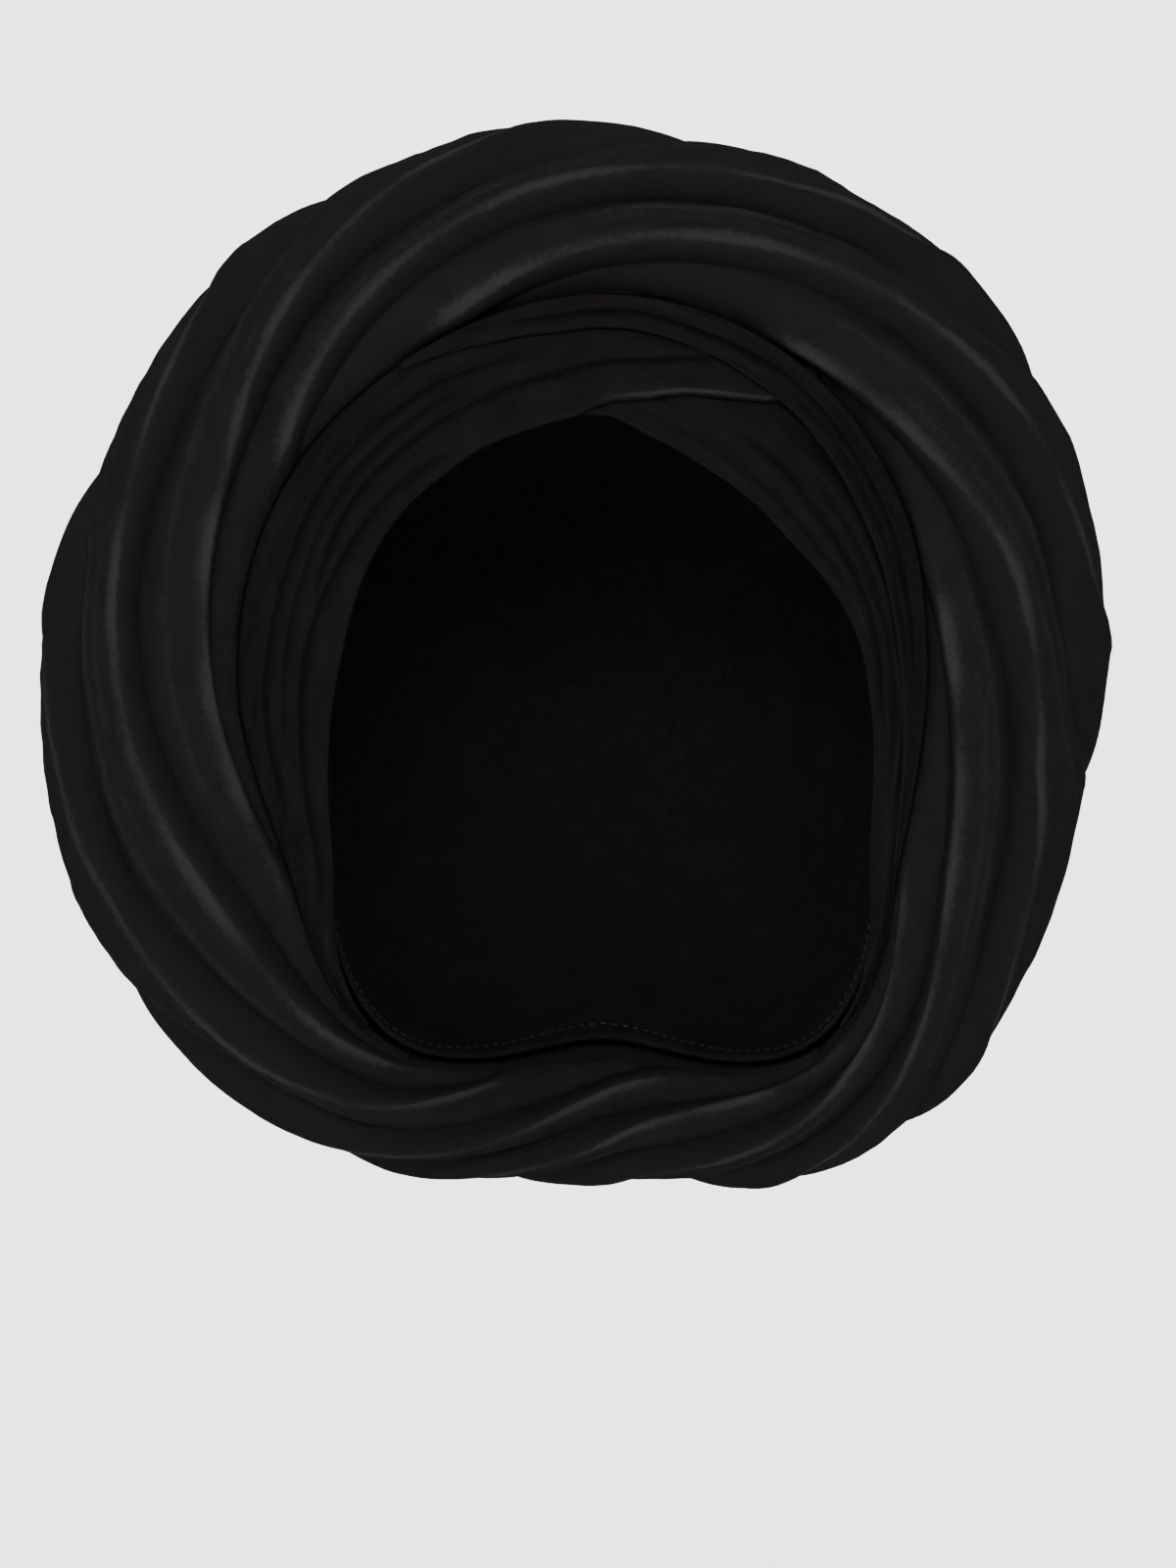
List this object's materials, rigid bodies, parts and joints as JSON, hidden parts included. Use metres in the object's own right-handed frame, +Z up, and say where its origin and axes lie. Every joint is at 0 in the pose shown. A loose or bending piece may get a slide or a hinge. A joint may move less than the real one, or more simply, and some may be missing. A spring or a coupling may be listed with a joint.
{
  "type": "tied gele head tie",
  "caption": "Ready-tied gele head tie in black velvet: a round halo of spiralling wound folds round the face, with thin inner bands crossing on the forehead",
  "frame": {"origin": "the seat of the head: the inside of the cap at the crown of the head, above the middle of the face opening", "axes": "+Z up, the wearer faces -Y, +X to the wearer's left, which is the right of a picture taken from the front"},
  "size_m": [0.2979, 0.1636, 0.301],
  "materials": {
    "black_velvet": "matte",
    "wrap_cloth": "matte"
  },
  "bodies": {
    "root": {"cap_back": "wrap_cloth", "cap_top": "wrap_cloth", "cap_right": "wrap_cloth", "cap_nape": "wrap_cloth", "cap_left": "wrap_cloth", "right_inner_wrap": "wrap_cloth", "left_inner_wrap": "wrap_cloth", "top_inner_wrap": "wrap_cloth", "halo_fold_1": "black_velvet", "halo_fold_2": "black_velvet", "halo_fold_3": "black_velvet", "halo_fold_4": "black_velvet", "halo_fold_5": "black_velvet", "halo_fold_6": "black_velvet", "halo_fold_7": "black_velvet", "halo_fold_8": "black_velvet", "halo_fold_9": "black_velvet", "halo_fold_10": "black_velvet"}
  },
  "joints": []
}
